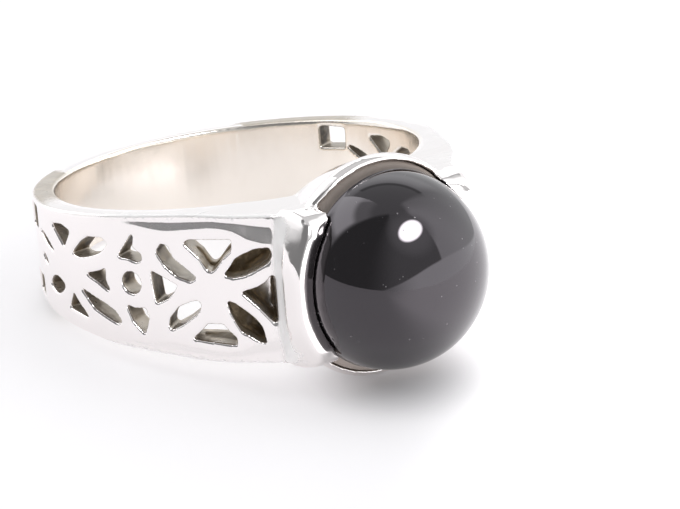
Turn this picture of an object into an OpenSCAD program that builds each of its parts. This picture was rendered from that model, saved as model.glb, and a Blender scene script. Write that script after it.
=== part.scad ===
// Cast silver ring with a round onyx cabochon and pierced floral shoulders, lying on its side.
// Every piece is drawn in the ring's own frame first: the finger hole's axis is Z, the stone
// faces -Y, and the two shoulders are at -X and +X. laid_down() then tips the ring onto a table.
// Angles are measured round the finger hole, in degrees from the stone's middle.

/* [Shank] */
// Radius of the finger hole
hole_r = 8.6; // [8.4:0.05:8.7]
// Wall of the round back
back_wall = 1.12; // [1.06:0.02:1.3]
// Radius of the long shallow curve of each shoulder, seen along the finger
shoulder_r = 22; // [20:0.5:24]
// Angle at which that curve leaves the round back
shoulder_from = 72; // [70:0.5:74]
// Half of the ring's width at its middle
mid_half = 2.82; // [2.75:0.01:2.9]
// How much half of the width narrows for each millimetre towards the back
narrowing = 0.084; // [0.07:0.001:0.09]
// Half of the width where it stops growing, in front of the finger
widest_half = 3.43; // [3.38:0.01:3.5]

/* [Stone] */
// Radius of the dome, which is part of a ball
dome_r = 4.5; // [4.45:0.01:4.55]
// Distance from the finger hole's axis to the middle of that ball
dome_y = 11.43; // [11.35:0.01:11.48]
// Distance from the finger hole's axis to the polished dome's lower edge
girdle_y = 11.51; // [11.48:0.01:11.6]
// Distance from the finger hole's axis to the flat underside of the stone
stone_foot_y = 10.2; // [10.18:0.01:10.3]
// Radius of the stone's foot
stone_foot_r = 4.78; // [4.7:0.01:4.8]

/* [Head] */
// Radius of the round frame under the stone
frame_r = 5.12; // [5.1:0.01:5.2]
// Radius to which the frame narrows beside the finger
frame_root_r = 4.3; // [4.1:0.05:4.4]
// Distance from the finger hole's axis to the frame's upper edge
frame_y = 10.8; // [10.7:0.01:10.85]
// Bevel round the frame's upper edge
frame_bevel = 0.2; // [0.1:0.01:0.22]
// Radius of the seat that the stone stands in
seat_r = 4.83; // [4.83:0.01:4.85]
// Distance from the finger hole's axis to the floor of the seat
seat_floor_y = 10.15; // [10.1:0.01:10.15]

/* [Collars] */
// Distance from the finger hole's axis to the flat rims of the collars
rim_y = 12.22; // [12.15:0.01:12.3]
// Radius of the rims' inner edge, over the stone
rim_r = 4.5; // [4.48:0.01:4.55]
// Radius of the rims' outer edge
rim_outer_r = 5.42; // [5.38:0.01:5.5]
// Half of the length of a collar, from tip to tip, just below its rim
rim_half = 3.15; // [3.1:0.01:3.2]
// Bevel at the rims' tips
tip_bevel = 0.25; // [0.2:0.01:0.3]
// How far below their rims the collars reach their full width
rim_lean = 0.65; // [0.5:0.05:0.8]
// Half of the width across both collars at their rims
collar_top = 5.38; // [5.34:0.01:5.42]
// Half of the width across both collars at their creases, where the shoulders begin
collar_foot = 5.18; // [5.15:0.01:5.25]
// Half of the collars' length at their foot, beside the frame
collar_half = 3.62; // [3.5:0.01:3.65]
// How far a collar's outer corners spread for each millimetre below the rim
corner_spread = 0.25; // [0.2:0.01:0.3]

/* [Piercing] */
// Wall of the pierced shoulders in front of the hollow beside the seat
panel_wall = 0.95; // [0.9:0.05:1]
// Wall that closes that hollow towards the finger
sleeve_wall = 0.6; // [0.5:0.05:0.65]
// Angle at which the hollow ends
hollow_end = 46; // [45:0.5:47]
// Half of the hollow's height
hollow_half = 2.5; // [2.45:0.05:2.6]
// Wall between the hollow and the seat
seat_wall = 0.4; // [0.35:0.05:0.45]
// Radius of the round hole between the two flowers
dot_r = 0.52; // [0.44:0.02:0.56]
// Angle of that hole's middle
dot_at = 65.3; // [65:0.1:65.6]

/* [Hidden] */
$fn = 96;

// Corners of the openings, each an angle and a height. These three, on the side of the first
// flower that is nearest to the stone, open into the closed hollow beside the seat
head_openings = [
    [
        [38.5, 0.71], [37, 1.07], [35.7, 1.46], [34.4, 1.64], [31, 1.95], [27.7, 2.02],
        [27.3, 1.65], [28.1, 1.34], [30.8, 1], [33.7, 0.71], [36.5, 0.59],
    ],
    [
        [34.8, -0.05], [31.3, 0.18], [29.4, 0.41], [27.4, 0.8], [27.1, 0.67],
        [27.2, -1.53], [28.8, -1.27], [31, -0.76],
    ],
    [
        [38.4, -0.47], [36.6, -0.58], [33.9, -0.97], [32.1, -1.29], [30.7, -1.66], [29.9, -2.46],
        [31.7, -2.33], [33.5, -2.1], [35.5, -1.9], [36.7, -1.46], [37.7, -1.02],
    ],
];
// The first flower's other openings, round from the top, go through to the finger hole
first_flower = [
    [
        [48.3, 2.1], [47.2, 2.26], [36, 2.36], [36.3, 1.86], [38.5, 1.49], [39.5, 1.25],
        [40.8, 0.95], [41.8, 0.84], [42.7, 0.9], [43.4, 1.1], [44.6, 1.47], [46.6, 1.79],
    ],
    [
        [56.6, 1.6], [55, 2], [53, 1.9], [52, 1.38], [49, 0.98], [45.6, 0.5], [47.5, 0.32],
        [51, 0.5], [54.5, 0.98],
    ],
    [[58.9, 0.7], [51.2, 0.1], [52.4, -0.22], [54.4, -0.56], [58, -0.86]],
    [
        [54.2, -1.48], [51.4, -0.91], [48.1, -0.64], [46, -0.55], [45.1, -0.72], [45.4, -0.96],
        [46.4, -1.17], [50.1, -1.66], [53.9, -2.03], [54.7, -1.9],
    ],
    [[48.2, -2.38], [45.5, -1.94], [43.8, -1.61], [39.8, -1.6], [38.7, -1.88], [36.8, -2.2], [36.7, -2.54]],
];
// The stars above and below the round hole
stars = [
    [[64, 2.3], [63.4, 2.2], [64.2, 1.7], [61.4, 1.38], [61.2, 1.14], [63, 1], [65.6, 1.12], [69.2, 1.16]],
    [[67.8, -1.06], [65.1, -1.2], [61.6, -1.14], [60.7, -1.6], [62.5, -2.38], [63.2, -2.3], [66, -1.84]],
];
// The second flower's cornered openings, round from the top
second_flower = [
    [[96.8, 1.97], [91.2, 2.08], [87, 1.92], [90.6, 1.06]],
    [
        [86.9, 0.86], [82.5, 1.56], [79.5, 1.86], [74.2, 1.93], [72.5, 1.7], [73.9, 1.41],
        [75.6, 1.2], [77.8, 1.04], [80.9, 0.87], [83.9, 0.77],
    ],
    [[81.7, 0.06], [76.1, 0.33], [73.9, 0.52], [74.2, -0.05], [72.7, -0.62], [77.4, -0.2]],
    [[84.9, -0.64], [75.2, -1.2], [71.9, -1.47], [69.8, -1.95], [71.2, -2.07], [73.4, -1.95], [79.3, -1.55]],
    [[88.2, -1.04], [86.8, -1.31], [81.6, -2.12], [85.9, -1.98], [90.9, -1.88]],
];
// The square openings behind the second flower
squares = [
    [[117, 2.14], [108.2, 2.16], [108.4, 1.16], [116.9, 1.06]],
    [[117, -2.14], [108.2, -2.16], [108.4, -1.16], [116.9, -1.06]],
];
// The second flower's leaves: the angle and height of one tip, then of the other, and the width
TIP_ANGLE = 0;
TIP_HEIGHT = 1;
END_ANGLE = 2;
END_HEIGHT = 3;
WIDTH = 4;
leaves = [
    [106.7, 1.32, 96.4, 0.56, 0.34],
    [106.4, 0.14, 101.8, -0.24, 0.36],
    [101.8, -1.16, 92.2, -0.86, 0.82],
];

back_r = hole_r + back_wall;
// Larger than any part of the ring
reach = 20;
// How much the seat narrows for each millimetre above the frame
seat_slope = (seat_r - rim_r) / (rim_y - frame_y);

// From the finger hole's axis to the middle of a shoulder's curve
curve_shift = shoulder_r - back_r;
curve_x = curve_shift * sin(shoulder_from);
curve_y = curve_shift * cos(shoulder_from);
// Distance from the finger hole's axis to a collar's crease, on the shoulder's curve
crease_y = sqrt(pow(shoulder_r, 2) - pow(collar_foot + curve_x, 2)) - curve_y;

// Half of the ring's width at a distance behind the finger hole's axis
function half_width(y) = mid_half - narrowing * y;
// Where, in front of that axis, it reaches its widest
widest_y = (widest_half - mid_half) / narrowing;

// The ring rests on the frame's underside and on the end of the back
front_rest_y = frame_y - frame_bevel;
back_half = half_width(back_r);
tilt = atan2(frame_r - back_half, front_rest_y + back_r);
lift = frame_r * cos(tilt) - front_rest_y * sin(tilt);
// The middle of its length, once it is tipped
front_end = dome_y * cos(tilt) + dome_r;
back_end = back_r * cos(tilt) + back_half * sin(tilt);
middle_y = (front_end - back_end) / 2;

// Distance from the finger hole's axis to the outer surface at an angle
function surface_r(angle) =
    let(turn = max(shoulder_from - angle, 0))
    sqrt(pow(shoulder_r, 2) - pow(curve_shift * sin(turn), 2)) - curve_shift * cos(turn);

// A point on that surface, seen from outside by someone who faces it at the angle "from"
function spot(angle, height, from) = [-surface_r(from) * sin(angle - from), height];

module laid_down() {
    translate([0, middle_y, lift]) rotate([-tilt, 0, 0]) children();
}

// Stands a shape's Z axis along the stone's axis, measured from the finger hole's axis
module along_stone() {
    rotate([90, 0, 0]) children();
}

module both_sides() {
    children();
    mirror([1, 0, 0]) children();
}

// A flat shape cut inwards along the radius at an angle, as far as a distance from the hole's axis
module radial_cut(angle, inner) {
    rotate([0, 0, -angle]) rotate([90, 0, 0]) translate([0, 0, inner])
        linear_extrude(reach - inner) children();
}

// A pointed leaf between two points
module leaf_shape(tip, end, width) {
    span = norm(end - tip);
    arc_r = (pow(span / 2, 2) + pow(width / 2, 2)) / width;
    middle = (tip + end) / 2;
    turn = atan2(end[1] - tip[1], end[0] - tip[0]);
    translate(middle) rotate(turn) intersection() {
        translate([0, arc_r - width / 2]) circle(arc_r);
        translate([0, width / 2 - arc_r]) circle(arc_r);
    }
}

module leaf_cut(leaf, inner) {
    middle = (leaf[TIP_ANGLE] + leaf[END_ANGLE]) / 2;
    radial_cut(middle, inner)
        leaf_shape(
            spot(leaf[TIP_ANGLE], leaf[TIP_HEIGHT], middle),
            spot(leaf[END_ANGLE], leaf[END_HEIGHT], middle),
            leaf[WIDTH]
        );
}

function angle_mean(corners) = (max([for (c = corners) c[0]]) + min([for (c = corners) c[0]])) / 2;

module cornered_cut(corners, inner) {
    middle = angle_mean(corners);
    radial_cut(middle, inner)
        polygon([for (c = corners) spot(c[0], c[1], middle)]);
}

// The openings of the shoulder at -X that go through to the finger hole
module through_piercing() {
    through = hole_r - back_wall;
    for (corners = concat(first_flower, stars)) cornered_cut(corners, through);
    for (corners = concat(second_flower, squares)) cornered_cut(corners, through);
    for (leaf = leaves) leaf_cut(leaf, through);
    radial_cut(dot_at, through) circle(dot_r);
}

// The disc inside the curve of the shoulder at -X, less a wall
module inside_curve(wall) {
    translate([curve_x, curve_y]) circle(shoulder_r - wall);
}

// The hollow beside the seat, between the pierced panel and the sleeve round the finger
module shoulder_hollow() {
    linear_extrude(2 * hollow_half, center = true) difference() {
        intersection() {
            inside_curve(panel_wall);
            translate([-reach, -reach]) square([reach - seat_r - seat_wall, reach]);
        }
        circle(hole_r + sleeve_wall);
        rotate(-hollow_end) translate([-reach, 0]) square([reach, reach]);
    }
}

// The ring seen along the finger: a round back, and two shallow shoulders that run to the collars
module plan() {
    circle(back_r);
    intersection() {
        inside_curve(0);
        mirror([1, 0]) inside_curve(0);
        shoulder_end = back_r * cos(shoulder_from);
        translate([-reach, -crease_y]) square([2 * reach, crease_y - shoulder_end]);
    }
}

// A shape seen from the side, from the points of its upper edge: a distance behind the finger
// hole's axis and a height. Its lower edge is the same
module side_view(upper) {
    lower = [for (i = [len(upper) - 1:-1:0]) [upper[i][0], -upper[i][1]]];
    rotate([90, 0, 90]) linear_extrude(2 * reach, center = true) polygon(concat(upper, lower));
}

module shank() {
    intersection() {
        linear_extrude(reach, center = true) plan();
        side_view([[-reach, widest_half], [-widest_y, widest_half], [reach, half_width(reach)]]);
    }
}

// Both collars before the seat is cut, as one block over the stone
module collars() {
    spread = corner_spread * (rim_y - seat_floor_y);
    intersection() {
        linear_extrude(reach, center = true) polygon([
            [-collar_foot, -seat_floor_y],
            [-collar_foot, -crease_y],
            [-collar_top, -rim_y],
            [collar_top, -rim_y],
            [collar_foot, -crease_y],
            [collar_foot, -seat_floor_y],
        ]);
        side_view([
            [-rim_y, rim_half - 2 * tip_bevel],
            [tip_bevel - rim_y, rim_half],
            [rim_lean - rim_y, widest_half],
            [-frame_y, collar_half],
            [-seat_floor_y, collar_half],
        ]);
        along_stone() translate([0, 0, seat_floor_y])
            cylinder(rim_y - seat_floor_y, rim_outer_r + spread, rim_outer_r);
    }
}

module frame() {
    along_stone() {
        translate([0, 0, hole_r / 2])
            cylinder(hole_r / 2, frame_root_r, frame_root_r);
        translate([0, 0, hole_r])
            cylinder(front_rest_y - hole_r, frame_root_r, frame_r);
        translate([0, 0, front_rest_y]) cylinder(frame_bevel, frame_r, frame_r - frame_bevel);
    }
}

// The seat, straight beside the stone's foot and leaning in over it between the collars
module seat() {
    above = 1;
    along_stone() {
        translate([0, 0, seat_floor_y]) cylinder(frame_y - seat_floor_y, seat_r, seat_r);
        translate([0, 0, frame_y])
            cylinder(rim_y - frame_y + above, seat_r, rim_r - seat_slope * above);
    }
}

module silver_ring() {
    color("silver") laid_down() difference() {
        difference() {
            union() {
                shank();
                frame();
                collars();
            }
            cylinder(reach, hole_r, hole_r, center = true);
            seat();
            both_sides() shoulder_hollow();
            both_sides() for (corners = head_openings) cornered_cut(corners, hole_r + sleeve_wall);
        }
        both_sides() through_piercing();
    }
}

module onyx_stone() {
    girdle_r = sqrt(pow(dome_r, 2) - pow(girdle_y - dome_y, 2));
    color([0.08, 0.08, 0.09]) laid_down() along_stone() {
        translate([0, 0, stone_foot_y])
            cylinder(frame_y - stone_foot_y, stone_foot_r, stone_foot_r);
        translate([0, 0, frame_y]) cylinder(girdle_y - frame_y, stone_foot_r, girdle_r);
        intersection() {
            translate([0, 0, dome_y]) sphere(dome_r);
            translate([0, 0, girdle_y + dome_r]) cube(2 * dome_r, center = true);
        }
    }
}

silver_ring();
onyx_stone();
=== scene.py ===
"""The onyx ring's looks: polished cast silver with darkened recesses, and a glossy black stone."""
import math

import bmesh
import bpy
import numpy as np
from mathutils import Matrix, Quaternion, Vector


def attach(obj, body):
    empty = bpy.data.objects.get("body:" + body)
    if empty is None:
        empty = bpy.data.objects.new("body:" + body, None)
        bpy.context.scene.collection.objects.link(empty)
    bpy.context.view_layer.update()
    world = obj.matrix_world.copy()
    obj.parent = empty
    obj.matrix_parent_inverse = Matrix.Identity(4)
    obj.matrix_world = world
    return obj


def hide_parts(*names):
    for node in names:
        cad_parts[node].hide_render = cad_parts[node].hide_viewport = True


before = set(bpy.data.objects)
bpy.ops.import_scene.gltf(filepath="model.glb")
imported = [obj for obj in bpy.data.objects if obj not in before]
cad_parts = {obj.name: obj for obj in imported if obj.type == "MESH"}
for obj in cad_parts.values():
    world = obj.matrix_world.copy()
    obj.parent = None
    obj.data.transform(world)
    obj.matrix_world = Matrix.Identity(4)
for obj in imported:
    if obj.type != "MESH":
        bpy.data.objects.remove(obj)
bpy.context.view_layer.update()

MM = 0.001

# The ring's own sizes in mm, in the ring's own frame: finger hole along Z, stone towards -Y
HOLE_R = 8.6
BACK_R = 9.72
SHOULDER_R = 22
SHOULDER_FROM = math.radians(72)
MID_HALF = 2.82
NARROWING = 0.084
WIDEST_HALF = 3.43
RIM_Y = 12.22
CREASE_Y = 10.43
COLLAR_FOOT = 5.18
COLLAR_TOP = 5.38
SEAT_R = 4.83
SEAT_FLOOR_Y = 10.15
LIP_R = 4.98
DOME_R = 4.5
DOME_Y = 11.43
GIRDLE_Y = 11.51
STONE_FOOT_Y = 10.2
STONE_FOOT_R = 4.78
FRAME_Y = 10.8
FRAME_REST_Y = 10.6
FRAME_R = 5.12

# The openings: degrees from the stone where they begin and where those over a closed hollow end,
# how high above the middle they reach, and how far from the middle the hollows begin
OPENINGS_FROM = 26.9
HOLLOWS_TO = 46
OPENINGS_HALF = 2.7
HOLLOW_FROM_X = 4.2

# The filed shoulders: degrees from the stone, and the heights between which the surface falls back, then
# how far it falls back for each mm of height
FILED = np.array([
    (26.3, 1.39, 2.91), (26.8, 1.82, 2.92), (27.9, 2.11, 2.94), (30.3, 2.22, 2.99),
    (32.7, 2.36, 3.04), (34.0, 2.54, 3.07), (35.9, 2.74, 3.10), (38.6, 2.84, 3.14),
    (41.3, 2.85, 3.17), (47.9, 2.69, 3.10), (53.2, 2.55, 3.02), (57.6, 2.61, 2.98),
    (62.2, 2.73, 2.94), (67.0, 2.76, 2.88),
])
FILED_STEEPNESS = 0.28

# How much prouder the frame's lip stands above the stone than the plain shape has it, in mm
LIP_RISE = 0.32

# The silver mesh: voxels in mm, rounds of smoothing for all edges and for the soft ones, and triangles
VOXEL = 0.052
EDGE_PASSES = 7
SOFT_PASSES = 45
MOST_TRIANGLES = 190000

# The stone's mesh: faces round it, and rings on its dome
STONE_SIDES = 144
DOME_RINGS = 56

# How the ring lies on the table
TILT = math.atan2(FRAME_R - (MID_HALF - NARROWING * BACK_R), FRAME_REST_Y + BACK_R)
LIFT = FRAME_R * math.cos(TILT) - FRAME_REST_Y * math.sin(TILT)
FRONT_END = DOME_Y * math.cos(TILT) + DOME_R
BACK_END = BACK_R * math.cos(TILT) + (MID_HALF - NARROWING * BACK_R) * math.sin(TILT)
MIDDLE_Y = (FRONT_END - BACK_END) / 2
LAID = Matrix.Translation((0, MIDDLE_Y, LIFT)) @ Matrix.Rotation(-TILT, 4, "X")

# The camera, seen from the ring's origin: its angles, its distances in mm, and its focal length in
# pixels of the picture
CAMERA_TURN, CAMERA_RISE, CAMERA_ROLL = (math.radians(a) for a in (-35.1669, 17.6362, -4.6145))
CAMERA_DISTANCE = 146.25
CAMERA_ASIDE = 4.5039
CAMERA_UP = -2.0376
FOCAL_PX = 3094.11
PICTURE_PX = 680
SENSOR = 36

# The tent's white is a little cold. The lamp's azimuth and elevation, its distance in m and its turn
WARMTH = -0.012
LAMP_AT = (13, 61)
LAMP_DISTANCE = 0.5
LAMP_TURN = math.radians(10)

# The table top: half its side in m, its cells, the side of its brightest painted glow, and the painted
# shadow's centre under the stone
TABLE_HALF = 1.4
TABLE_CELLS = 12
PAINTED_LIGHT_SIDE = (0.7, -0.7, 0)
UNDER_STONE = (0.0005, -0.0085, 0)

# Colours. A pair is two shades that a noise mixes
TABLE = ((0.6, 0.592, 0.605, 1), (0.635, 0.625, 0.635, 1))
TABLE_PAINTED_GLOW = (1, 0.985, 1, 1)
POLISHED = ((0.93, 0.895, 0.885, 1), (0.915, 0.875, 0.865, 1))
INSIDE = (0.925, 0.87, 0.805, 1)
# On the openings' walls: a stained tint, with painted shade
STAINED_AND_SHADED = (0.9, 0.81, 0.68, 1)
SATIN = (0.99, 0.975, 0.965, 1)
# Patina in the openings, the hollows and the seat, darkened further as painted shade
PATINA_AND_SHADE = ((0.042, 0.028, 0.015, 1), (0.17, 0.122, 0.072, 1))
HOLLOW_PATINA_AND_SHADE = ((0.24, 0.175, 0.095, 1), (0.68, 0.56, 0.39, 1))
ONYX = ((0.0045, 0.004, 0.0045, 1), (0.007, 0.0065, 0.007, 1))
DUST = (0.17, 0.16, 0.165, 1)
ONYX_GLOSS = (1.0, 0.925, 1.0, 1)
MATT_SIDE = ((0.1, 0.077, 0.065, 1), (0.2, 0.163, 0.14, 1))
# Paler matt side: near the seat, and as painted light on the stone's lower side
MATT_PALE_AND_PAINTED_LIGHT = (0.42, 0.36, 0.32, 1)


class Nodes:
    """Short calls for building a node tree."""

    def __init__(self, tree):
        self.tree = tree

    def add(self, kind, **values):
        node = self.tree.nodes.new(kind)
        for key, value in values.items():
            setattr(node, key, value)
        return node

    def link(self, source, target):
        self.tree.links.new(source, target)

    def feed(self, socket, value):
        if isinstance(value, bpy.types.NodeSocket):
            self.link(value, socket)
        else:
            socket.default_value = value

    def math(self, operation, a, b=0.0, clamp=False):
        node = self.add("ShaderNodeMath", operation=operation, use_clamp=clamp)
        self.feed(node.inputs[0], a)
        self.feed(node.inputs[1], b)
        return node.outputs[0]

    def product(self, *shares):
        result = shares[0]
        for share in shares[1:]:
            result = self.math("MULTIPLY", result, share)
        return result

    def ramp(self, value, low, high, at_low=0.0, at_high=1.0):
        """A smooth step from one value at low to another at high."""
        node = self.add("ShaderNodeMapRange", interpolation_type="SMOOTHSTEP")
        self.feed(node.inputs["Value"], value)
        self.feed(node.inputs["From Min"], low)
        self.feed(node.inputs["From Max"], high)
        self.feed(node.inputs["To Min"], at_low)
        self.feed(node.inputs["To Max"], at_high)
        return node.outputs["Result"]

    def against(self, operation, vector, fixed):
        """A vector's dot product with a fixed one, or its distance from a fixed point."""
        node = self.add("ShaderNodeVectorMath", operation=operation)
        self.link(vector, node.inputs[0])
        node.inputs[1].default_value = fixed
        return node.outputs["Value"]

    def mix(self, share, a, b):
        node = self.add("ShaderNodeMix", data_type="RGBA")
        self.feed(node.inputs["Factor"], share)
        self.feed(node.inputs[6], a)
        self.feed(node.inputs[7], b)
        return node.outputs[2]

    def noise(self, coords, scale, detail=2.0, rough=0.5, stretch=None):
        if stretch:
            mapping = self.add("ShaderNodeMapping")
            mapping.inputs["Scale"].default_value = stretch
            self.link(coords, mapping.inputs["Vector"])
            coords = mapping.outputs[0]
        node = self.add("ShaderNodeTexNoise")
        self.link(coords, node.inputs["Vector"])
        node.inputs["Scale"].default_value = scale
        node.inputs["Detail"].default_value = detail
        node.inputs["Roughness"].default_value = rough
        return node.outputs["Fac"]

    def layer(self, name):
        """A value that the mesh carries at its points."""
        return self.add("ShaderNodeAttribute", attribute_name=name).outputs["Fac"]

    def bump(self, height, strength, distance, normal=None):
        node = self.add("ShaderNodeBump")
        self.feed(node.inputs["Strength"], strength)
        node.inputs["Distance"].default_value = distance
        self.link(height, node.inputs["Height"])
        if normal is not None:
            self.link(normal, node.inputs["Normal"])
        return node.outputs[0]


def placed(name, data):
    """A new object in the scene."""
    obj = bpy.data.objects.new(name, data)
    bpy.context.collection.objects.link(obj)
    return obj


def surface(name):
    """A new material, with its node tree, its shader and the coordinates on the object."""
    material = bpy.data.materials.new(name)
    material.use_nodes = True
    n = Nodes(material.node_tree)
    return material, n, n.tree.nodes["Principled BSDF"], n.add("ShaderNodeTexCoord").outputs["Object"]


def direction(azimuth, elevation):
    """Azimuth 0 points along -Y and 90 along +X."""
    a, e = math.radians(azimuth), math.radians(elevation)
    return Vector((math.sin(a) * math.cos(e), -math.cos(a) * math.cos(e), math.sin(e)))


def camera():
    """The photograph's camera, set in the ring's frame in mm and laid down with the ring."""
    level = math.cos(CAMERA_RISE)
    back = Vector((math.sin(CAMERA_TURN) * level, -math.cos(CAMERA_TURN) * level, math.sin(CAMERA_RISE)))
    right = Vector((math.cos(CAMERA_TURN), math.sin(CAMERA_TURN), 0))
    up = back.cross(right)
    x = math.cos(CAMERA_ROLL) * right + math.sin(CAMERA_ROLL) * up
    y = math.cos(CAMERA_ROLL) * up - math.sin(CAMERA_ROLL) * right
    place = back * CAMERA_DISTANCE + right * CAMERA_ASIDE + up * CAMERA_UP
    pose = LAID @ Matrix((
        (x.x, y.x, back.x, place.x),
        (x.y, y.y, back.y, place.y),
        (x.z, y.z, back.z, place.z),
        (0, 0, 0, 1),
    ))
    pose.translation *= MM
    data = bpy.data.cameras.new("camera")
    data.sensor_width = SENSOR
    data.lens = FOCAL_PX * SENSOR / PICTURE_PX
    data.clip_start = 0.005
    data.clip_end = 20
    obj = placed("camera", data)
    obj.matrix_world = pose
    bpy.context.scene.camera = obj


def grey(value):
    """A grey with the tent's tint."""
    return (value * (1 + WARMTH), value, value * (1 - WARMTH), 1)


def tent():
    """The light tent round the ring: white, with the photographer's dark side and brighter panels."""
    world = bpy.data.worlds.new("light_tent")
    bpy.context.scene.world = world
    world.use_nodes = True
    n = Nodes(world.node_tree)
    sky = n.add("ShaderNodeTexCoord").outputs["Generated"]
    facing = n.add("ShaderNodeSeparateXYZ")
    n.link(sky, facing.inputs[0])
    x, y, z = facing.outputs
    azimuth = n.math("MULTIPLY", n.math("ARCTAN2", x, n.math("MULTIPLY", y, -1.0)), math.degrees(1))
    elevation = n.math("MULTIPLY", n.math("ARCSINE", z), math.degrees(1))

    def along(vector):
        return n.against("DOT_PRODUCT", sky, vector)

    def within(value, limits, soft):
        low, high = limits
        return n.product(n.ramp(value, low - soft, low + soft), n.ramp(value, high + soft, high - soft))

    def panel(colour, azimuths, elevations, soft, brightness):
        share = n.product(within(azimuth, azimuths, soft), within(elevation, elevations, soft))
        return n.mix(share, colour, grey(brightness))

    def between(share, first, second):
        return n.mix(share, grey(first), grey(second))

    colour = grey(1.0)
    # The tent's roof and back, with a seam between them
    colour = panel(colour, (-190, 190), (72, 100), soft=5, brightness=0.66)
    colour = panel(colour, (104, 190), (43, 76), soft=2, brightness=0.66)
    colour = panel(colour, (112, 170), (41.5, 46), soft=1.5, brightness=0.38)
    # The photographer's dark side
    dark_side = n.ramp(along(direction(-32, 0)), -0.02, 0.07)
    colour = n.mix(dark_side, colour, between(n.ramp(azimuth, -65, -20), 0.21, 0.58))
    # The bright side on the right, with a slanting edge
    edge = direction(31, 20).cross(direction(47, 61)).normalized()
    if edge.dot(direction(90, 20)) < 0:
        edge.negate()
    bright_side = n.product(n.ramp(along(edge), -0.02, 0.03), n.ramp(azimuth, 114, 102),
                            n.ramp(elevation, 76, 68))
    colour = n.mix(bright_side, colour, between(n.ramp(azimuth, 60, 110), 1.8, 1.15))
    # The glow round the lamp
    glow = n.ramp(along(direction(12, 58)), math.cos(math.radians(30)), math.cos(math.radians(8)))
    colour = n.mix(glow, colour, grey(0.95))
    # Two lit panels behind the ring
    colour = panel(colour, (-190, -124), (34, 56), soft=4, brightness=2.6)
    colour = panel(colour, (118, 190), (20, 38), soft=6, brightness=1.4)
    # The sheet that curves up in front on the right, under a line that rises and falls again
    line = n.math("SUBTRACT", n.ramp(azimuth, -75, 22, -7, 20), n.ramp(azimuth, 28, 125, 0, 25))
    sheet = n.product(n.ramp(n.math("SUBTRACT", elevation, line), 1.2, -1.2), n.ramp(azimuth, 118, 102))
    colour = n.mix(sheet, colour, between(n.ramp(azimuth, -48, 2), 0.85, 2.3))
    n.link(colour, n.tree.nodes["Background"].inputs["Color"])


def lamp():
    """The lamp that the dome mirrors: an ellipse with a soft edge, high up in front."""
    light = bpy.data.lights.new("round_lamp", "AREA")
    light.shape = "ELLIPSE"
    light.size = 0.3
    light.size_y = 0.2
    light.energy = 2.3
    light.use_nodes = True
    n = Nodes(light.node_tree)
    spread = n.against("DISTANCE", n.add("ShaderNodeNewGeometry").outputs["Parametric"], (0.5, 0.5, 0))
    n.link(n.ramp(spread, 0.5, 0.38), n.tree.nodes["Emission"].inputs["Strength"])
    holder = placed("round_lamp", light)
    holder.visible_diffuse = False
    towards = direction(*LAMP_AT)
    holder.location = towards * LAMP_DISTANCE
    holder.rotation_mode = "QUATERNION"
    holder.rotation_quaternion = towards.to_track_quat("Z", "Y") @ Quaternion((0, 0, 1), LAMP_TURN)


def table_top():
    """A wide, flat, pale table top that glows as painted light, brightest on one side, with a painted
    shadow under the stone.
    """
    ticks = [TABLE_HALF * (2 * i / TABLE_CELLS - 1) for i in range(TABLE_CELLS + 1)]
    bm = bmesh.new()
    grid = [[bm.verts.new((x, y, 0)) for y in ticks] for x in ticks]
    for left, right in zip(grid, grid[1:]):
        for j in range(TABLE_CELLS):
            bm.faces.new((left[j], right[j], right[j + 1], left[j + 1]))
    data = bpy.data.meshes.new("table_top")
    bm.to_mesh(data)
    bm.free()
    obj = placed("table_top", data)
    material, n, shader, coords = surface("table_top")
    n.link(n.mix(n.noise(coords, scale=9, detail=3), *TABLE), shader.inputs["Base Color"])
    # Painted light: the table glows, more on one side, and the glow is dimmed as a painted shadow under
    # the stone
    shader.inputs["Emission Color"].default_value = TABLE_PAINTED_GLOW
    heading = n.add("ShaderNodeVectorMath", operation="NORMALIZE")
    n.link(coords, heading.inputs[0])
    painted_light = n.product(n.ramp(n.against("DOT_PRODUCT", coords, PAINTED_LIGHT_SIDE), 0.005, 0.017),
                    n.ramp(n.against("DOT_PRODUCT", heading.outputs["Vector"], PAINTED_LIGHT_SIDE), -0.1, 0.8))
    shade = n.ramp(n.against("DISTANCE", coords, UNDER_STONE), 0.001, 0.0055, 0.2, 1.0)
    n.link(n.product(n.ramp(painted_light, 0, 1, 0.45, 1.36), shade), shader.inputs["Emission Strength"])
    shader.inputs["Roughness"].default_value = 0.6
    shader.inputs["Specular IOR Level"].default_value = 0.2
    data.materials.append(material)


def applied(obj):
    """The mesh that an object's modifiers make."""
    graph = bpy.context.evaluated_depsgraph_get()
    graph.update()
    return bpy.data.meshes.new_from_object(obj.evaluated_get(graph))


def points_of(mesh):
    co = np.empty(len(mesh.vertices) * 3)
    mesh.vertices.foreach_get("co", co)
    return co.reshape(-1, 3)


def keep_layer(mesh, name, values):
    """Values, one for each point, kept on the mesh for its material."""
    mesh.attributes.new(name, "FLOAT", "POINT").data.foreach_set("value", values.astype(np.float32))


def relaxed(co, edges, passes):
    """Points that move halfway to the middle of their neighbours, again and again."""
    a, b = edges.T
    count = np.bincount(a, minlength=len(co)) + np.bincount(b, minlength=len(co))
    for _ in range(passes):
        mean = np.empty_like(co)
        for k in range(3):
            total = np.bincount(a, co[b, k], len(co)) + np.bincount(b, co[a, k], len(co))
            mean[:, k] = total / np.maximum(count, 1)
        co = (co + mean) / 2
    return co


def in_ring(co):
    """World points in metres, as points in mm in the ring's frame."""
    back = np.array(LAID.inverted())
    return (co / MM) @ back[:3, :3].T + back[:3, 3]


def from_ring(p):
    """The way back, in mm."""
    laid = np.array(LAID)
    return p @ laid[:3, :3].T + laid[:3, 3]


def step(value, low, high):
    """From 0 at low to 1 at high, smoothly."""
    t = np.clip((value - low) / (high - low), 0, 1)
    return t * t * (3 - 2 * t)


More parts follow.
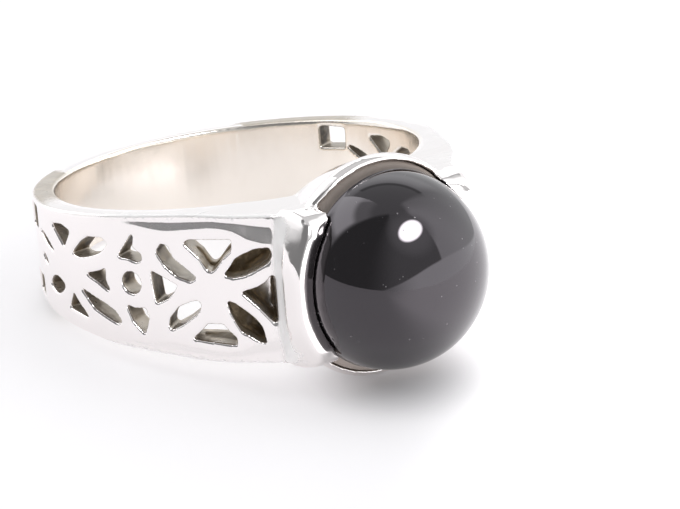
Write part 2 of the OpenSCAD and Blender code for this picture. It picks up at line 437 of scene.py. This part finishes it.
def from_head(p):
    """Angle round the finger hole's axis, from the stone."""
    return np.arctan2(np.abs(p[:, 0]), -p[:, 1])


def from_hole_axis(p):
    return np.hypot(p[:, 0], p[:, 1])


def from_stone_axis(p):
    return np.hypot(p[:, 0], p[:, 2])


def half_width(y):
    """Half the band's width."""
    return np.minimum(MID_HALF - NARROWING * y, WIDEST_HALF)


def outer_r(angle):
    """Distance from the finger hole's axis to the outer surface, at an angle from the stone."""
    shift = SHOULDER_R - BACK_R
    turn = np.maximum(SHOULDER_FROM - angle, 0)
    return np.sqrt(SHOULDER_R ** 2 - (shift * np.sin(turn)) ** 2) - shift * np.cos(turn)


def under_surface(p):
    """Distance below the shoulders' and the back's outer surface, in mm."""
    return outer_r(from_head(p)) - from_hole_axis(p)


def filed_back(p):
    """How far the long edges of the shoulders are filed back, in mm, and the share of the slope."""
    angle = np.degrees(from_head(p))
    low, high = (np.interp(angle, FILED[:, 0], FILED[:, k]) for k in (1, 2))
    depth = FILED_STEEPNESS * (high - low) * step(-angle, -72, -64) * step(angle, 26.2, 27.4)
    share = step(np.abs(p[:, 2]), low, high)
    return depth * share, np.clip(8 * share * (1 - share), 0, 1) * (depth > 0.03)


def soft_edges(p):
    """How much more than the openings' edges each point of the silver is rounded, from 0 to 1."""
    rim = half_width(p[:, 1])
    near_side = step(np.abs(p[:, 2]), rim - 0.5, rim - 0.25)
    back = near_side * step(from_head(p), math.radians(68), math.radians(85))
    hole = 0.5 * near_side * step(-from_hole_axis(p), -HOLE_R - 0.5, -HOLE_R - 0.25)
    collar = step(-p[:, 1], 11.4, 11.7) * step(from_stone_axis(p), 4.92, 5.1)
    off_crease = np.hypot(np.abs(p[:, 0]) - COLLAR_FOOT, p[:, 1] + CREASE_Y)
    crease = step(-off_crease, -0.7, -0.25)
    return np.maximum.reduce([back, hole, collar, crease])


def retouched(p):
    """The points moved for the filed edges, the collars' fuller sides and leaning rims, and the lip."""
    side = np.sign(p[:, 0])
    centre = (SHOULDER_R - BACK_R) * np.array([math.sin(SHOULDER_FROM), math.cos(SHOULDER_FROM)])
    inward = np.stack([-side * centre[0] - p[:, 0], centre[1] - p[:, 1]], 1)
    inward /= np.linalg.norm(inward, axis=1, keepdims=True)
    p = p.copy()
    p[:, :2] += inward * (filed_back(p)[0] * step(-under_surface(p), -0.95, -0.1))[:, None]
    rise = (-p[:, 1] - CREASE_Y) / (RIM_Y - CREASE_Y)
    fuller = (COLLAR_TOP - COLLAR_FOOT) * (step(rise, 0, 0.35) - np.clip(rise, 0, 1))
    flat = step(np.abs(p[:, 0]), 4.9, 5.1) * step(-np.abs(p[:, 2]), -2.2, -1.2)
    p[:, 0] += side * fuller * flat
    lean = 0.35 * np.clip(5.1 - from_stone_axis(p), 0, 0.65)
    p[:, 1] += lean * step(-p[:, 1], RIM_Y - 0.45, RIM_Y - 0.05)
    # The frame's lip stands a little prouder above the stone, as the ring lies
    on_lip = step(-np.abs(from_stone_axis(p) - LIP_R), -0.3, -0.2)
    lip = on_lip * step(-p[:, 1], 10.5, 10.75) * step(p[:, 1], -11, -10.9)
    p[:, 1] -= LIP_RISE * lip * step(p[:, 2], 2.4, 4.4)
    return p


def silver_mesh():
    """The solid casting with every edge worn round."""
    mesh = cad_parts["silver_ring"].data.copy()
    bm = bmesh.new()
    bm.from_mesh(mesh)
    bm.transform(Matrix.Scale(1 / MM, 4))
    bmesh.ops.remove_doubles(bm, verts=bm.verts, dist=1e-5)
    bm.to_mesh(mesh)
    bm.free()
    work = placed("work", mesh)
    remesh = work.modifiers.new("remesh", "REMESH")
    remesh.mode = "VOXEL"
    remesh.voxel_size = VOXEL
    dense = applied(work)
    edges = np.empty(len(dense.edges) * 2, int)
    dense.edges.foreach_get("vertices", edges)
    edges = edges.reshape(-1, 2)
    co = from_ring(retouched(in_ring(points_of(dense) * MM)))
    light = relaxed(co, edges, EDGE_PASSES)
    strong = relaxed(light, edges, SOFT_PASSES)
    share = soft_edges(in_ring(light * MM))[:, None]
    dense.vertices.foreach_set("co", (light + (strong - light) * share).ravel())
    work.modifiers.clear()
    work.data = dense
    thin = work.modifiers.new("thin", "DECIMATE")
    thin.ratio = min(1.0, MOST_TRIANGLES / sum(len(f.vertices) - 2 for f in dense.polygons))
    result = applied(work)
    result.transform(Matrix.Scale(MM, 4))
    bpy.data.objects.remove(work)
    for old in (mesh, dense):
        bpy.data.meshes.remove(old)
    return result


def recess(p):
    """How deep in a closed hollow or under the stone each point lies, from 0 to 1: where patina and
    painted shade go.
    """
    angle = np.degrees(from_head(p))
    under_panel = step(under_surface(p) - filed_back(p)[0], 0.45, 0.8)
    in_head = step(-angle, -HOLLOWS_TO - 1, -HOLLOWS_TO)
    off_hole = step(from_hole_axis(p), HOLE_R + 0.3, HOLE_R + 0.45)
    off_rims = step(-np.abs(p[:, 2]), -OPENINGS_HALF, -OPENINGS_HALF + 0.1)
    hollows = under_panel * in_head * off_hole * off_rims
    hollows *= step(np.abs(p[:, 0]), HOLLOW_FROM_X, HOLLOW_FROM_X + 0.15)
    seat = step(-from_stone_axis(p), -SEAT_R - 0.05, -SEAT_R - 0.01)
    seat *= step(-p[:, 1], SEAT_FLOOR_Y - 0.05, SEAT_FLOOR_Y - 0.01) * step(p[:, 1], -10.6, -10.4)
    return np.maximum(hollows, seat)


def tarnish_and_shade(p, up):
    """How dark the openings' walls are with patina and painted shade: least where they face up, as painted
    light from above.
    """
    below = under_surface(p) - filed_back(p)[0]
    in_wall = step(below, 0.06, 0.2) * step(from_hole_axis(p), HOLE_R + 0.02, HOLE_R + 0.15)
    pierced = step(-np.abs(p[:, 2]), -OPENINGS_HALF, -OPENINGS_HALF + 0.15)
    pierced *= step(np.abs(p[:, 0]), COLLAR_FOOT + 0.02, COLLAR_FOOT + 0.08)
    pierced *= step(np.degrees(from_head(p)), OPENINGS_FROM, OPENINGS_FROM + 0.25)
    # Walls that face up are left lighter: painted light from above
    return in_wall * pierced * (1 - 0.5 * step(up, 0.2, 0.85))


def satin(p):
    """Where the polish is soft: in the creases, on the shoulders' long edges and where they are filed."""
    angle = np.degrees(from_head(p))
    off_crease = np.hypot(np.abs(p[:, 0]) - COLLAR_FOOT, p[:, 1] + CREASE_Y + 0.17)
    crease = step(-off_crease, -0.55, -0.25)
    filed, slope = filed_back(p)
    outside = outer_r(np.radians(angle)) - filed
    at_surface = step(from_hole_axis(p), outside - 0.22, outside - 0.08)
    rim = half_width(p[:, 1])
    edge = step(np.abs(p[:, 2]), rim - 0.14, rim - 0.05)
    edge *= at_surface * step(-angle, -80, -66) * step(angle, 25, 27)
    return np.maximum.reduce([crease, edge, 0.15 * slope * at_surface])


def silver():
    """The casting as one piece, with the values that its material reads."""
    mesh = silver_mesh()
    mesh.name = "silver_body"
    mesh.shade_smooth()
    obj = placed("silver_body", mesh)
    ring = in_ring(points_of(mesh))
    normals = np.empty(len(mesh.vertices) * 3)
    mesh.vertices.foreach_get("normal", normals)
    keep_layer(mesh, "recess", recess(ring))
    keep_layer(mesh, "wall", tarnish_and_shade(ring, normals.reshape(-1, 3)[:, 2]))
    keep_layer(mesh, "inside", step(-from_hole_axis(ring), -HOLE_R - 0.25, -HOLE_R - 0.05))
    keep_layer(mesh, "satin", satin(ring))
    mesh.materials.clear()
    mesh.materials.append(silver_material())
    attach(obj, "root")
    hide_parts("silver_ring")


def silver_material():
    """Polished silver, duller inside the band and in the creases, brown in the hollows, the seat and the
    openings with patina and painted shade.
    """
    material, n, shader, coords = surface("polished_silver")
    hollow, wall, inside, dull = (n.layer(name) for name in ("recess", "wall", "inside", "satin"))
    grain = n.noise(coords, scale=2600, detail=4, rough=0.6)
    blotches = n.math("ADD", n.product(grain, 0.5), n.product(n.noise(coords, scale=1300, detail=3), 0.5))

    # The openings' walls: patina, darkened further as painted shade
    stain_and_shade = n.product(wall, n.ramp(n.noise(coords, scale=1100, detail=3), 0.3, 0.6, 0.86, 1.0))
    # The hollows and the seat under the stone: patina, with painted shade
    deep = n.product(hollow, n.ramp(grain, 0.25, 0.6, 0.75, 1.0))
    dark = n.math("MAXIMUM", deep, stain_and_shade, clamp=True)

    clean = n.mix(n.noise(coords, scale=260, detail=3), *POLISHED)
    clean = n.mix(inside, clean, INSIDE)
    clean = n.mix(n.math("MULTIPLY", wall, 1.7, clamp=True), clean, STAINED_AND_SHADED)
    clean = n.mix(dull, clean, SATIN)
    patches = n.ramp(blotches, 0.42, 0.68)
    # Brown patina with painted shade, a paler brown in the hollows
    patina_and_shade = n.mix(hollow, n.mix(patches, *PATINA_AND_SHADE), n.mix(patches, *HOLLOW_PATINA_AND_SHADE))
    n.link(n.mix(dark, clean, patina_and_shade), shader.inputs["Base Color"])
    covered = n.math("MAXIMUM", dark, n.product(dull, 0.85))
    n.link(n.math("SUBTRACT", 1.0, covered), shader.inputs["Metallic"])

    rough = n.ramp(n.noise(coords, scale=900, detail=5, rough=0.65), 0.35, 0.75, 0.05, 0.12)
    scuffs = n.noise(coords, scale=2300, detail=4, rough=0.7, stretch=(1.0, 1.0, 0.35))
    scuffed = n.product(dull, n.ramp(scuffs, 0.42, 0.7, 0.4, 0.65))
    for more in (n.product(inside, 0.12), scuffed, n.product(dark, 0.5)):
        rough = n.math("ADD", rough, more)
    n.link(rough, shader.inputs["Roughness"])

    waves = n.bump(n.noise(coords, scale=420, detail=1), strength=0.5, distance=0.00002)
    crust = n.bump(grain, strength=n.product(dark, 0.8), distance=0.0001, normal=waves)
    n.link(crust, shader.inputs["Normal"])
    return material


def stone_profile():
    """Radius and height of each ring, from the foot to the top, and the number where the polish begins."""
    profile = [(0, STONE_FOOT_Y), (2.4, STONE_FOOT_Y), (STONE_FOOT_R - 0.12, STONE_FOOT_Y),
               (STONE_FOOT_R - 0.03, STONE_FOOT_Y + 0.03), (STONE_FOOT_R, STONE_FOOT_Y + 0.12)]
    profile += [(STONE_FOOT_R, y) for y in np.linspace(STONE_FOOT_Y + 0.3, FRAME_Y, 3)]
    girdle = math.asin((GIRDLE_Y - DOME_Y) / DOME_R)
    wider = DOME_R * math.cos(girdle) + 0.02 - STONE_FOOT_R
    taller = GIRDLE_Y - 0.04 - FRAME_Y
    profile += [(STONE_FOOT_R + wider * t, FRAME_Y + taller * t) for t in np.linspace(0.15, 1, 6)]
    polished_from = len(profile) - 1
    arc = np.linspace(girdle, math.pi / 2, DOME_RINGS)
    profile += [(DOME_R * math.cos(t), DOME_Y + DOME_R * math.sin(t)) for t in arc[:-1]]
    profile.append((0, DOME_Y + DOME_R))
    return profile, polished_from


def stone_mesh():
    """The cabochon, turned round the stone's axis: a matt tapered side under a polished dome."""
    profile, polished_from = stone_profile()
    turn = [2 * math.pi * i / STONE_SIDES for i in range(STONE_SIDES)]
    bm = bmesh.new()
    rings = []
    for r, y in profile:
        angles = turn if r else turn[:1]
        rings.append([bm.verts.new(LAID @ Vector((r * math.cos(t), -y, r * math.sin(t)))) for t in angles])
    for k, (low, high) in enumerate(zip(rings, rings[1:])):
        for i in range(STONE_SIDES):
            j = (i + 1) % STONE_SIDES
            corners = (low[i % len(low)], low[j % len(low)], high[j % len(high)], high[i % len(high)])
            # At the two ends a ring is one point, which counts once
            face = bm.faces.new(list(dict.fromkeys(corners)))
            face.smooth = True
            face.material_index = 1 if k < polished_from else 0
    bmesh.ops.recalc_face_normals(bm, faces=bm.faces)
    bm.transform(Matrix.Scale(MM, 4))
    mesh = bpy.data.meshes.new("onyx_body")
    bm.to_mesh(mesh)
    bm.free()
    return mesh


def stone():
    """The stone as one piece, with its two finishes."""
    mesh = stone_mesh()
    obj = placed("onyx_body", mesh)
    ring = in_ring(points_of(mesh))
    # Paler close to the seat, and paler on the lower side as painted light from the table
    foot = np.maximum(step(ring[:, 1], -11.4, -10.95), 0.95 * step(-ring[:, 2], 2.5, 3.8))
    keep_layer(mesh, "foot", foot)
    mesh.materials.append(onyx_material())
    mesh.materials.append(matt_material())
    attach(obj, "root")
    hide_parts("onyx_stone")


def onyx_material():
    """Glossy black with faint wear, and a few specks of dust."""
    material, n, shader, coords = surface("polished_onyx")
    specks = n.add("ShaderNodeTexVoronoi")
    specks.inputs["Scale"].default_value = 2500
    n.link(coords, specks.inputs["Vector"])
    chosen = n.ramp(n.noise(coords, scale=600), 0.48, 0.53)
    dust = n.product(n.ramp(specks.outputs["Distance"], 0.12, 0.05), chosen)
    black = n.mix(n.noise(coords, scale=150, detail=3), *ONYX)
    n.link(n.mix(dust, black, DUST), shader.inputs["Base Color"])
    wear = n.ramp(n.noise(coords, scale=1800, detail=4, rough=0.6), 0.4, 0.8, 0.02, 0.045)
    n.link(n.math("ADD", wear, n.product(dust, 0.5)), shader.inputs["Roughness"])
    shader.inputs["IOR"].default_value = 1.7
    shader.inputs["Specular Tint"].default_value = ONYX_GLOSS
    return material


def matt_material():
    """The ground side of the stone, paler close to the seat, and paler on its lower side as painted light
    from the table.
    """
    material, n, shader, coords = surface("matt_onyx")
    grain = n.noise(coords, scale=3000, detail=4, rough=0.6)
    n.link(n.mix(n.layer("foot"), n.mix(grain, *MATT_SIDE), MATT_PALE_AND_PAINTED_LIGHT), shader.inputs["Base Color"])
    shader.inputs["Roughness"].default_value = 0.55
    n.link(n.bump(grain, strength=0.4, distance=0.00003), shader.inputs["Normal"])
    return material


camera()
tent()
lamp()
table_top()
silver()
stone()
bpy.context.scene.view_settings.view_transform = "Standard"
